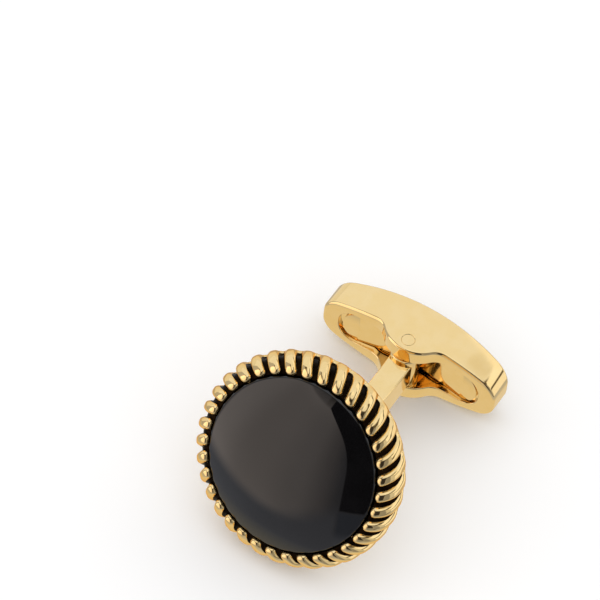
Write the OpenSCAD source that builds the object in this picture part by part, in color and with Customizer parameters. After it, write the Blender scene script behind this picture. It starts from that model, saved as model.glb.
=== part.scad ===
// Cufflink with a domed black stone in a gadrooned gold rim, a curved post and a swivel toggle.
// It lies on its side: the toggle's side wall and the rim's edge touch the plane z = 0.
// Each piece is built in a frame of its own: the face's, with z out of the stone and z = 0 at
// the back of the face, or the pin's, with x along the toggle, y along the pin and z to the face.

/* [Face] */
// Diameter of the face over the rim
face_d = 17.9; // [16:0.1:20]
// Depth of the rim from its back to its crest, the diameter of its round section
rim_depth = 3.44; // [3:0.02:4]
// Fullness of the rim's section towards the back: 2 is round, more is squarer
back_fullness = 2.8; // [2:0.1:4]
// Number of lobes round the rim
lobes = 35; // [28:1:40]
// Turn of a lobe round the face, in degrees for each degree of the rim's section
lobe_twist = 0.068; // [0:0.002:0.2]
// Depth of a groove between two lobes
groove_depth = 0.5; // [0.2:0.05:0.8]
// Azimuth of the first lobe's inner tip, in degrees
lobe_phase = 4.9; // [0:0.1:10.3]
// Diameter of the stone
stone_d = 14.6; // [13:0.02:14.8]
// Rise of the stone's dome above its edge
dome_rise = 1.85; // [1:0.05:2.6]
// Height of the stone's edge above the back of the face
stone_edge_z = 3.18; // [2.6:0.02:3.3]
// Thickness of the back plate
plate_t = 0.9; // [0.7:0.1:1.5]

/* [Post] */
// Distance from the back of the face to the pin, along the face's axis
post_drop = 14.5; // [13:0.1:16]
// Angle by which the post's curve turns the toggle from the face
post_bend = 30.2; // [20:0.1:35]
// Width of the post's foot along the pin's direction
foot_w = 5.6; // [4:0.05:6]
// Width of the post where it enters the toggle
neck_w = 2.5; // [2:0.05:2.9]
// Thickness of the post at its foot
foot_t = 1.7; // [1.4:0.05:2]
// Thickness of the post at the pin
neck_t = 2.1; // [1.8:0.05:2.2]
// Radius of the head that turns on the pin
head_r = 1.25; // [1.1:0.05:1.4]

/* [Toggle] */
// Length of the toggle
toggle_l = 16.15; // [15:0.05:18]
// Width of the toggle across its middle
toggle_w = 6.44; // [6:0.02:7]
// Radius of the bow of its two long sides, seen from the face
side_bow_r = 22.8; // [20:0.2:40]
// Radius of the four corners at its ends
corner_r = 1.8; // [1:0.05:2]
// Depth from the pin to the outer face, at the middle
outer_drop = 3.8; // [3.2:0.01:4]
// Radius of the lengthwise bow of the outer face
outer_bow_r = 34.4; // [25:0.2:60]
// Depth from the pin to the flat rim of the side walls
wall_drop = 0.48; // [0.2:0.02:0.8]
// Height of the two ears above the pin
ear_rise = 1.06; // [0.9:0.02:1.3]
// Radius of an ear's crown
ear_r = 2.8; // [2.2:0.05:3]
// Radius of the fillet from an ear down to the wall
ear_fillet_r = 1.5; // [1:0.1:2]
// Width of the pocket between the side walls
pocket_w = 3.5; // [3.1:0.1:3.6]
// Length of the pocket
pocket_l = 13.2; // [12:0.1:14]
// Radius of the pocket's four corners
pocket_corner_r = 1.65; // [1:0.05:1.7]
// Length of the leaf spring that lines the pocket
spring_l = 12.56; // [12:0.02:12.6]
// Width of the leaf spring towards its ends
spring_w = 3.2; // [3:0.05:3.3]
// Width of the leaf spring's waist under the post's head
spring_waist_w = 2.72; // [2.4:0.02:3]
// Thickness of the leaf spring
spring_t = 0.25; // [0.2:0.01:0.3]
// Rise of the leaf spring from its middle towards an end, for each millimetre
spring_slope = 0.112; // [0.08:0.002:0.12]
// Diameter of the hinge pin
pin_d = 1.1; // [0.9:0.1:1.3]
// Angle that the toggle stands turned by on its pin, in degrees
toggle_turn = 2.15; // [-80:0.05:80]

/* [Hidden] */
$fn = 96;
gap = 0.03;            // clearance between fitted pieces
pin_gap = 0.05;        // running clearance of the post's head on the pin
press_gap = 0.01;      // clearance of the pin in the ears
cut = 1;               // how far a cutting shape runs past what it cuts

// Face: the rim's round section, and the cup inside it
section_r = rim_depth / 2;
ring_r = face_d / 2 - section_r;      // radius of the circle that the section's centre runs on
pitch = 360 / lobes;
stone_r = stone_d / 2;
collet_r = stone_r + gap + 0.11;      // outside of the thin wall round the stone
collet_top_z = 2.4;
enamel_w = 0.19;
enamel_top_z = 2.6;
plate_r = collet_r + gap + enamel_w;
rim_wall_r = plate_r + gap;
tip_wall_r = stone_r + 0.12;          // how far in the lobes' tips reach over the enamel
dome_r = (stone_r * stone_r + dome_rise * dome_rise) / (2 * dome_rise);

// Pin centre, seen from the face. The post's curve sets it so that the toggle's side wall
// and the rim lie on one plane.
back_power = back_fullness / (back_fullness - 1);
rim_reach = ring_r * cos(post_bend) - section_r * sin(post_bend)
    + section_r * pow(pow(cos(post_bend), back_power) + pow(sin(post_bend), back_power), 1 / back_power);
pin_y = (rim_reach - toggle_w / 2 - post_drop * sin(post_bend)) / cos(post_bend);
pin_z = -post_drop;

// Reach of the part before and behind the pin as it lies, for the middle of its box
front_reach = -pin_y * sin(post_bend) + post_drop * cos(post_bend)
    + ring_r * sin(post_bend) + section_r * cos(post_bend) + section_r;
back_reach = outer_drop;

// A point of the face's y-z plane, in the pin's frame
function from_face(p) = [
    (p[0] - pin_y) * cos(post_bend) - (p[1] - pin_z) * sin(post_bend),
    (p[0] - pin_y) * sin(post_bend) + (p[1] - pin_z) * cos(post_bend)
];

// Points of an arc from p to q that bows by s to the left of the way from p to q
function arc_points(p, q, s, n = 14) =
    let (chord = norm(q - p), r = (chord * chord / 4 + s * s) / (2 * abs(s)),
         dir = (q - p) / chord, left = [-dir[1], dir[0]],
         centre = (p + q) / 2 + left * (s - sign(s) * r),
         half = asin(chord / 2 / r))
    [for (i = [0 : n])
        let (a = half * (2 * i / n - 1))
        centre + r * (dir * sin(a) + left * sign(s) * cos(a))];

// Section rows that bear no lobes, up the inner wall
inner_rows = [
    // radius, height
    [rim_wall_r, 0.03],
    [rim_wall_r, 1.2],
    [rim_wall_r, enamel_top_z + 0.1]
];

// Section rows over the lobes, from their inner tips to the plain band at the back
lobe_rows = [
    // angle on the section, share of the lobe's height, share of the groove's depth
    [82, 0.40, 1.0],
    [78, 0.84, 1.0],
    [71, 1.00, 1.0],
    [55, 1.00, 1.0],
    [38, 1.00, 1.0],
    [22, 1.00, 1.0],
    [6, 1.00, 1.0],
    [-8, 1.00, 1.0],
    [-20, 1.00, 0.93],
    [-29, 1.00, 0.7],
    [-37, 1.00, 0.3],
    [-44, 1.00, 0],
    [-60, 1.00, 0],
    [-74, 1.00, 0]
];

// One lobe across: how far round the pitch, and how far down from its crest
lobe_across = [
    // share of the pitch, drop as a share of the groove's depth
    [-0.41, 1.00],
    [-0.35, 0.60],
    [-0.23, 0.15],
    [0.00, 0.00],
    [0.23, 0.15],
    [0.35, 0.60],
    [0.41, 1.00]
];

tip_angle = lobe_rows[0][0];

// Radius of the rim's section at an angle, over the lobes' crests
function crest_r(a) = section_r * (a >= 0 ? 1
    : pow(pow(cos(a), back_fullness) + pow(-sin(a), back_fullness), -1 / back_fullness));

// A point of the rim's skin, by row and by step round the rim
function rim_radius_height(row, drop) =
    row < len(inner_rows) ? inner_rows[row] :
    let (w = lobe_rows[row - len(inner_rows)],
         r = crest_r(w[0]) - groove_depth * (1 - w[1] * (1 - w[2] * drop)))
    [max(w[0] > 0 ? tip_wall_r : rim_wall_r, ring_r + r * cos(w[0])), section_r + r * sin(w[0])];

function rim_turn(row) =
    row < len(inner_rows) ? 0 : lobe_twist * (tip_angle - lobe_rows[row - len(inner_rows)][0]);

rim_row_count = len(inner_rows) + len(lobe_rows);
rim_steps = lobes * len(lobe_across);

// Steps by which the last row has turned past the first, so that the band between them lies straight
rim_shift = len(lobe_across) * round(rim_turn(rim_row_count - 1) / pitch);

module gadrooned_rim() {
    points = [for (row = [0 : rim_row_count - 1]) for (k = [0 : lobes - 1]) for (a = lobe_across)
        let (rz = rim_radius_height(row, a[1]),
             az = lobe_phase + (k + a[0]) * pitch + rim_turn(row))
        [rz[0] * cos(az), rz[0] * sin(az), rz[1]]];
    faces = [for (row = [0 : rim_row_count - 1]) for (i = [0 : rim_steps - 1])
        let (next_row = (row + 1) % rim_row_count, j = (i + 1) % rim_steps,
             shift = next_row == 0 ? rim_shift : 0,
             a = row * rim_steps + i, b = row * rim_steps + j,
             c = next_row * rim_steps + (j + shift) % rim_steps,
             d = next_row * rim_steps + (i + shift) % rim_steps)
        each [[a, d, b], [b, d, c]]];
    color("gold") lying() on_face() polyhedron(points = points, faces = faces, convexity = 6);
}

// From a piece's own frame to the part as it lies
module lying() {
    translate([0, (front_reach - back_reach) / 2, toggle_w / 2])
        rotate([-90, 0, 180])
            children();
}

// From the face's frame to the pin's
module on_face() {
    rotate([post_bend, 0, 0])
        translate([0, -pin_y, -pin_z])
            children();
}

// From the toggle's own frame to the pin's, turned as it stands
module turned() {
    rotate([0, -toggle_turn, 0])
        children();
}

// A flat shape of the y-z plane, made t thick in x
module slab(t) {
    translate([-t / 2, 0, 0])
        rotate([90, 0, 90])
            linear_extrude(t)
                children();
}

module stone() {
    color([0.04, 0.04, 0.045]) lying() on_face()
        translate([0, 0, plate_t + gap])
            intersection() {
                cylinder(r = stone_r, h = 10);
                translate([0, 0, stone_edge_z - plate_t - gap + dome_rise - dome_r])
                    sphere(r = dome_r, $fn = 180);
            }
}

module enamel_ring() {
    color([0.08, 0.05, 0.03]) lying() on_face()
        translate([0, 0, plate_t + gap])
            difference() {
                cylinder(r = plate_r, h = enamel_top_z - plate_t - gap);
                translate([0, 0, -cut])
                    cylinder(r = collet_r + gap, h = collet_top_z - plate_t + cut);
                cylinder(r = stone_r + gap, h = enamel_top_z + cut);
            }
}

// The back plate, and the thin wall on it that holds the stone
module cup() {
    cylinder(r = plate_r, h = plate_t);
    difference() {
        translate([0, 0, plate_t / 2])
            cylinder(r = collet_r, h = collet_top_z - plate_t / 2);
        cylinder(r = stone_r + gap, h = collet_top_z + cut);
    }
}

// The post's side view: two arcs from the foot to the neck, and the head's shank
foot_y = 0.9;          // the foot stands a little off the face's axis
foot_z = 0.1;          // and a little inside the back plate
neck_y = 0.12;
neck_z = 1.1;          // height above the pin at which the arcs end
near_bow = 1.9;       // how far the edge on the hollow side bows
far_bow = 1.75;        // how far the edge on the round side bows

module post_outline() {
    near_foot = from_face([foot_y - foot_w / 2, foot_z]);
    far_foot = from_face([foot_y + foot_w / 2, foot_z]);
    near_neck = [neck_y - neck_w / 2, neck_z];
    far_neck = [neck_y + neck_w / 2, neck_z];
    polygon(concat(
        arc_points(near_foot, near_neck, near_bow),
        [[neck_y - neck_w / 2, 0], [neck_y + neck_w / 2, 0]],
        arc_points(far_neck, far_foot, -far_bow)));
}

// The post's front view: it widens slowly from the foot to the pin
module post_taper() {
    top = post_drop * 1.2;
    polygon([[-neck_t / 2, 0], [neck_t / 2, 0], [foot_t / 2, top], [-foot_t / 2, top]]);
}

head_w = pocket_w - 0.1;

module cup_and_post() {
    color("gold") lying() difference() {
        union() {
            on_face() cup();
            intersection() {
                slab(4) post_outline();
                rotate([90, 0, 0])
                    linear_extrude(40, center = true)
                        post_taper();
            }
            rotate([90, 0, 0])
                cylinder(r = head_r, h = head_w, center = true);
        }
        rotate([90, 0, 0])
            cylinder(d = pin_d + 2 * pin_gap, h = head_w + 2 * cut, center = true);
    }
}

// Points of an arc round a centre, without its last one
function round_points(centre, r, from, to, n) = [
    for (i = [0 : n - 1])
        let (a = from + (to - from) * i / n)
        centre + r * [cos(a), sin(a)]
];

// A bowed bar seen from the face: two long arcs, met by small round corners.
// half_l and half_w are its half length and half width, bow_r and r its arcs' and corners' radii.
function bar_points(half_l, half_w, bow_r, r) =
    let (x = half_l - r, bow_y = half_w - bow_r,
         y = bow_y + sqrt(pow(bow_r - r, 2) - x * x), a = atan2(y - bow_y, x))
    concat(
        round_points([x, y], r, 0, a, 8),
        round_points([0, bow_y], bow_r, a, 180 - a, 24),
        round_points([-x, y], r, 180 - a, 180, 8), [[-half_l, y]],
        round_points([-x, -y], r, 180, 180 + a, 8),
        round_points([0, -bow_y], bow_r, 180 + a, 360 - a, 24),
        round_points([x, -y], r, 360 - a, 360, 8), [[half_l, -y]]);

// The pocket's side view: its floor rises both ways from the middle, as the spring on it does
function pocket_points() =
    let (top = ear_rise + cut, far = pocket_l / 2 + cut, floor_z = -spring_drop - spring_t - gap)
    [[-far, top], [-far, floor_z + spring_slope * far], [0, floor_z],
     [far, floor_z + spring_slope * far], [far, top]];

// A rounded slot seen from the face
function slot_points(half_l, half_w, r) =
    let (x = half_l - r, y = half_w - r)
    concat(
        round_points([x, y], r, 0, 90, 8), [[x, half_w]],
        round_points([-x, y], r, 90, 180, 8), [[-half_l, y]],
        round_points([-x, -y], r, 180, 270, 8), [[-x, -half_w]],
        round_points([x, -y], r, 270, 360, 8), [[half_l, -y]]);

// The toggle's side view: a bowed outer edge, straight walls and an ear over the pin
function side_points() =
    let (ear_y = ear_rise - ear_r, fillet_y = ear_fillet_r - wall_drop,
         x = sqrt(pow(ear_r + ear_fillet_r, 2) - pow(fillet_y - ear_y, 2)),
         a = atan2(fillet_y - ear_y, x),
         end_x = toggle_l / 2 + cut, b = asin(end_x / outer_bow_r))
    concat(
        round_points([0, outer_bow_r - outer_drop], outer_bow_r, 270 - b, 270 + b, 40),
        [[end_x, -outer_drop + end_x * end_x / 2 / outer_bow_r], [end_x, -wall_drop]],
        round_points([x, fillet_y], ear_fillet_r, 270, 180 + a, 8),
        round_points([0, ear_y], ear_r, a, 180 - a, 30),
        round_points([-x, fillet_y], ear_fillet_r, -a, -90, 8),
        [[-x, -wall_drop], [-end_x, -wall_drop]]);

spring_drop = head_r + 0.04;    // depth from the pin to the spring's upper face, at its middle
spring_shift = 0.08;            // how far the spring lies off the middle, along the toggle
spring_corner_r = 1.5;
waist_x = 1.8;                  // half the length of the waist
relief_l = 6;                   // the free space that the spring bows into
relief_drop = 2.3;

// The spring's side view: a strip bent a little at the middle
function spring_side() =
    let (x = spring_l, high = spring_slope * spring_l - spring_drop)
    [[-x, high], [-x, high - spring_t], [0, -spring_drop - spring_t],
     [x, high - spring_t], [x, high], [0, -spring_drop]];

// The spring seen from the face: round ends and a narrower waist
function spring_points() =
    let (l = spring_l / 2, w = spring_w / 2, r = spring_corner_r, x = l - r, y = w - r,
         waist = spring_waist_w / 2)
    concat(
        round_points([x, y], r, 0, 90, 8), [[x, w], [waist_x, waist], [-waist_x, waist]],
        round_points([-x, y], r, 90, 180, 8), [[-l, y]],
        round_points([-x, -y], r, 180, 270, 8), [[-x, -w], [-waist_x, -waist], [waist_x, -waist]],
        round_points([x, -y], r, 270, 360, 8), [[l, -y]]);

module toggle() {
    color("gold") lying() turned() difference() {
        intersection() {
            translate([0, 0, -outer_drop - cut])
                linear_extrude(outer_drop + ear_rise + 2 * cut)
                    polygon(bar_points(toggle_l / 2, toggle_w / 2, side_bow_r, corner_r));
            rotate([90, 0, 0])
                linear_extrude(toggle_w + 2 * cut, center = true)
                    polygon(side_points());
        }
        // the pocket between the walls
        intersection() {
            translate([0, 0, -outer_drop])
                linear_extrude(outer_drop + ear_rise + 2 * cut)
                    polygon(slot_points(pocket_l / 2, pocket_w / 2, pocket_corner_r));
            rotate([90, 0, 0])
                linear_extrude(toggle_w, center = true)
                    polygon(pocket_points());
        }
        // the spring's free space under its middle
        translate([-relief_l / 2, -spring_waist_w / 2, -relief_drop])
            cube([relief_l, spring_waist_w, relief_drop - spring_drop]);
        rotate([90, 0, 0])
            cylinder(d = pin_d + 2 * press_gap, h = toggle_w + 2 * cut, center = true);
    }
}

module hinge_pin() {
    color("goldenrod") lying() turned()
        rotate([90, 0, 0])
            cylinder(d = pin_d, h = toggle_w - 2 * press_gap, center = true);
}

module leaf_spring() {
    color("darkgoldenrod") lying() turned()
        translate([-spring_shift, 0, 0])
            intersection() {
                translate([0, 0, -outer_drop])
                    linear_extrude(outer_drop)
                        polygon(spring_points());
                rotate([90, 0, 0])
                    linear_extrude(toggle_w, center = true)
                        polygon(spring_side());
            }
}

stone();
gadrooned_rim();
enamel_ring();
cup_and_post();
toggle();
hinge_pin();
leaf_spring();
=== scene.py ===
"""Looks of a round cufflink: a black domed stone, a gadrooned gold rim, a bent flat post and a swivel toggle.

Sizes are in millimetres. Each piece is shaped in a frame of its own, the face's (z out of the stone) or
the pin's (x along the toggle, y along the pin, z to the face), and is then laid down in metres.
"""

import logging
import math
from dataclasses import dataclass, field
from enum import Enum
from typing import Callable, Iterable

import bmesh
import bpy
from mathutils import Matrix, Vector

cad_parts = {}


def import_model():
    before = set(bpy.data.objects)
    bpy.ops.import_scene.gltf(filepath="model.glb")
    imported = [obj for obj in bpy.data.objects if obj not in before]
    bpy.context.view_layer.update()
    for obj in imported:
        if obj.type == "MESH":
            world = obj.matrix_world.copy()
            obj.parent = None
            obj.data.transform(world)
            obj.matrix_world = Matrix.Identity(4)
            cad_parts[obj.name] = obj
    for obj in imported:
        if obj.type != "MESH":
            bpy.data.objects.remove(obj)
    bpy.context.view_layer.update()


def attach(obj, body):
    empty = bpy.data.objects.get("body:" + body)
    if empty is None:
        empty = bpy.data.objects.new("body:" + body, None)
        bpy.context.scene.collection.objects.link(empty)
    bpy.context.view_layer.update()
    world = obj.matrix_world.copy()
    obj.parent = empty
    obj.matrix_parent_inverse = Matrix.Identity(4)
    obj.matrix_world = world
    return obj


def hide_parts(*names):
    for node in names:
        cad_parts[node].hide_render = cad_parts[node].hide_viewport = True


Point = tuple[float, float, float]
Colour = tuple[float, float, float, float]
Vert = bmesh.types.BMVert
Edge = bmesh.types.BMEdge
Socket = bpy.types.NodeSocket
Skin = tuple[Socket, Socket, Socket]

LOG = logging.getLogger("cufflink")
MM = 0.001
Z_AXIS = (0.0, 0.0, 1.0)
Y_AXIS = (0.0, 1.0, 0.0)
SHARP = 34.0  # fold from which an edge is shaded sharp, in degrees
ROUND = 256  # steps round the face's turned pieces
CLOSE = 1e-3  # nearness at which two places are one, in millimetres


class Slot(Enum):
    """Material slots of the record."""

    ONYX = "onyx"
    GOLD = "gold"
    ENAMEL = "enamel"


class Body(Enum):
    """Bodies that the pieces ride on."""

    FACE = "face"
    SWIVEL = "swivel"


def smooth_step(low: float, high: float, value: float) -> float:
    """Eases from 0 at low to 1 at high.

    Args:
        low: Value at which the result leaves 0.
        high: Value at which the result reaches 1.
        value: The value to place between them.

    Returns:
        A share between 0 and 1.
    """
    t = min(1.0, max(0.0, (value - low) / (high - low)))
    return t * t * (3.0 - 2.0 * t)


@dataclass(frozen=True)
class Lay:
    """How the cufflink lies, and the frames that its pieces are shaped in."""

    face_d: float = 17.9
    rim_depth: float = 3.44
    back_fullness: float = 2.8
    post_drop: float = 14.5
    post_bend: float = math.radians(30.2)
    toggle_w: float = 6.44
    outer_drop: float = 3.8
    toggle_turn: float = math.radians(2.15)
    spring_drop: float = 1.29
    spring_slope: float = 0.112

    def spring_top(self, x: float) -> float:
        """Height of the bent spring's upper face at a distance along the toggle, from the pin."""
        return self.spring_slope * abs(x) - self.spring_drop

    @property
    def section_r(self) -> float:
        """Radius of the rim's round section."""
        return self.rim_depth / 2.0

    @property
    def ring_r(self) -> float:
        """Radius of the circle that the rim's section runs on."""
        return self.face_d / 2.0 - self.section_r

    @property
    def pin_y(self) -> float:
        """Offset of the pin from the face's axis, by which rim and toggle touch one plane."""
        sine, cosine = math.sin(self.post_bend), math.cos(self.post_bend)
        power = self.back_fullness / (self.back_fullness - 1.0)
        fullness = (cosine**power + sine**power) ** (1.0 / power)
        reach = self.ring_r * cosine - self.section_r * sine + self.section_r * fullness
        return (reach - self.toggle_w / 2.0 - self.post_drop * sine) / cosine

    @property
    def pin(self) -> Matrix:
        """Place of the pin's frame in the part's, in metres."""
        sine, cosine = math.sin(self.post_bend), math.cos(self.post_bend)
        front = (
            -self.pin_y * sine
            + self.post_drop * cosine
            + self.ring_r * sine
            + self.section_r * cosine
            + self.section_r
        )
        place = Matrix.Translation((0.0, (front - self.outer_drop) / 2.0, self.toggle_w / 2.0))
        turn = Matrix.Rotation(math.pi, 4, "Z") @ Matrix.Rotation(-math.pi / 2.0, 4, "X")
        return Matrix.Scale(MM, 4) @ place @ turn

    @property
    def face_in_pin(self) -> Matrix:
        """Place of the face's frame in the pin's, in millimetres."""
        shift = Matrix.Translation((0.0, -self.pin_y, self.post_drop))
        return Matrix.Rotation(self.post_bend, 4, "X") @ shift

    @property
    def face(self) -> Matrix:
        """Place of the face's frame in the part's, in metres."""
        return self.pin @ self.face_in_pin

    @property
    def toggle(self) -> Matrix:
        """Place of the turned toggle's frame in the part's, in metres."""
        return self.pin @ Matrix.Rotation(-self.toggle_turn, 4, "Y")


class Pen:
    """Draws a wire of strokes and arcs in a mesh, for a spin or an extrusion to sweep."""

    def __init__(self, mesh: bmesh.types.BMesh, start: Point) -> None:
        """Sets the pen down.

        Args:
            mesh: The mesh to draw in.
            start: Where the wire begins.
        """
        self.mesh = mesh
        self.first = self.tip = mesh.verts.new(start)

    def line(self, to: Point, steps: int = 1) -> "Pen":
        """Draws a straight stroke.

        Args:
            to: Where the stroke ends.
            steps: Number of edges in it.

        Returns:
            The pen itself.
        """
        start = self.tip.co.copy()
        for step in range(1, steps + 1):
            self.tip = bmesh.ops.extrude_vert_indiv(self.mesh, verts=[self.tip])["verts"][0]
            self.tip.co = start.lerp(Vector(to), step / steps)
        return self

    def arc(
        self,
        centre: Point,
        axis: Point,
        angle: float,
        steps: int,
    ) -> "Pen":
        """Draws an arc about a centre.

        Args:
            centre: The arc's centre.
            axis: The axis that it turns about, by the right-hand rule.
            angle: How far it turns, in radians.
            steps: Number of edges in it.

        Returns:
            The pen itself.
        """
        swept = bmesh.ops.spin(
            self.mesh, geom=[self.tip], cent=centre, axis=axis, dvec=(0, 0, 0), angle=angle, steps=steps
        )
        self.tip = next(g for g in swept["geom_last"] if isinstance(g, Vert))
        return self

    def close(self) -> "Pen":
        """Joins the wire's end to its beginning."""
        bmesh.ops.contextual_create(self.mesh, geom=[self.tip, self.first])
        return self


class Shape:
    """A mesh in the making, with the moves that several pieces share."""

    def __init__(self) -> None:
        """Starts with an empty mesh."""
        self.mesh = bmesh.new()

    def pen(self, start: Point) -> Pen:
        """Returns a pen set down at a point."""
        return Pen(self.mesh, start)

    def lathe(self, steps: int, axis: Point = Z_AXIS) -> None:
        """Spins what is drawn all the way round an axis through the origin.

        Args:
            steps: Number of steps round.
            axis: The axis.
        """
        bmesh.ops.spin(
            self.mesh,
            geom=self.mesh.verts[:] + self.mesh.edges[:],
            cent=(0, 0, 0),
            axis=axis,
            dvec=(0, 0, 0),
            angle=2.0 * math.pi,
            steps=steps,
            use_merge=True,
        )
        self.settle()

    def settle(self) -> None:
        """Merges doubles and points the faces outwards."""
        bmesh.ops.remove_doubles(self.mesh, verts=self.mesh.verts[:], dist=1e-5)
        bmesh.ops.recalc_face_normals(self.mesh, faces=self.mesh.faces[:])

    def loop(self, quarter: Callable[[], None]) -> list[Vert]:
        """Draws a quarter of a closed outline and mirrors it twice.

        Args:
            quarter: Draws the quarter from x = 0 to the end.

        Returns:
            The loop's vertices.
        """
        known = set(self.mesh.verts)
        quarter()
        for axis in ("X", "Y"):
            part = [v for v in self.mesh.verts if v not in known]
            part += [e for e in self.mesh.edges if not known.intersection(e.verts)]
            bmesh.ops.mirror(self.mesh, geom=part, axis=axis, merge_dist=1e-4)
        drawn = [v for v in self.mesh.verts if v not in known]
        for sign in (-1.0, 1.0):
            ends = [v for v in drawn if len(v.link_edges) == 1 and v.co.x * sign > 0.0]
            bmesh.ops.contextual_create(self.mesh, geom=ends)
        return drawn

    def deck(self, rim: Iterable[Edge]) -> None:
        """Closes a loop with a strip of faces that run across it in y.

        Args:
            rim: The loop's edges.
        """
        sides = [e for e in rim if e.verts[0].co.y * e.verts[1].co.y > 0.0]
        bmesh.ops.bridge_loops(self.mesh, edges=sides)

    def creases(self, angle: float) -> list[Edge]:
        """Finds the edges that fold by more than an angle.

        Args:
            angle: The fold, in degrees.

        Returns:
            Those edges.
        """
        self.mesh.normal_update()
        limit = math.radians(angle)
        return [e for e in self.mesh.edges if len(e.link_faces) == 2 and e.calc_face_angle(0.0) > limit]

    def creases_at(self, angle: float, axis: int, level: float) -> list[Edge]:
        """Finds the creases that lie at one level of an axis.

        Args:
            angle: The fold, in degrees.
            axis: 0, 1 or 2, for x, y or z.
            level: The level on that axis.

        Returns:
            Those edges.
        """
        return [e for e in self.creases(angle) if all(abs(v.co[axis] - level) < CLOSE for v in e.verts)]

    def soften(self, edges: Iterable[Edge], width: float, segments: int = 3) -> None:
        """Rounds edges.

        Args:
            edges: The edges to round.
            width: How far the rounding reaches from an edge.
            segments: Number of faces across it.
        """
        bmesh.ops.bevel(
            self.mesh,
            geom=list(edges),
            offset=width,
            offset_type="OFFSET",
            segments=segments,
            profile=0.5,
            affect="EDGES",
            material=-1,
            clamp_overlap=True,
            loop_slide=True,
        )

    def piece(self, name: str, place: Matrix, sharp: float = SHARP) -> bpy.types.Object:
        """Lays the shape down as a finished object.

        Args:
            name: The object's name.
            place: Where the shape's frame lies in the part's.
            sharp: Fold from which an edge is shaded sharp, in degrees.

        Returns:
            The object, with its place in its mesh.
        """
        bmesh.ops.transform(self.mesh, matrix=place, verts=self.mesh.verts[:])
        data = bpy.data.meshes.new(name)
        self.mesh.to_mesh(data)
        self.mesh.free()
        data.shade_smooth()
        data.set_sharp_from_angle(angle=math.radians(sharp))
        made = bpy.data.objects.new(name, data)
        bpy.context.scene.collection.objects.link(made)
        return made


def bake(made: bpy.types.Object) -> None:
    """Makes a piece's modifiers part of its mesh."""
    graph = bpy.context.evaluated_depsgraph_get()
    data = bpy.data.meshes.new_from_object(made.evaluated_get(graph))
    made.modifiers.clear()
    old, made.data = made.data, data
    name = old.name
    bpy.data.meshes.remove(old)
    data.name = name


def combine(base: bpy.types.Object, tool: bpy.types.Object, operation: str) -> None:
    """Joins or cuts one solid with another, and drops the second.

    Args:
        base: The solid that stays.
        tool: The solid that is added or cut away.
        operation: UNION or DIFFERENCE.
    """
    step = base.modifiers.new("combine", "BOOLEAN")
    step.object, step.operation, step.solver = tool, operation, "EXACT"
    bake(base)
    base.data.shade_smooth()
    base.data.set_sharp_from_angle(angle=math.radians(SHARP))
    spent = tool.data
    bpy.data.objects.remove(tool)
    bpy.data.meshes.remove(spent)


def crisp(made: bpy.types.Object) -> None:
    """Lets large faces keep their own normals, so that only the narrow arrises turn from one to the next."""
    made.modifiers.new("crisp", "WEIGHTED_NORMAL").keep_sharp = True
    bake(made)


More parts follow.
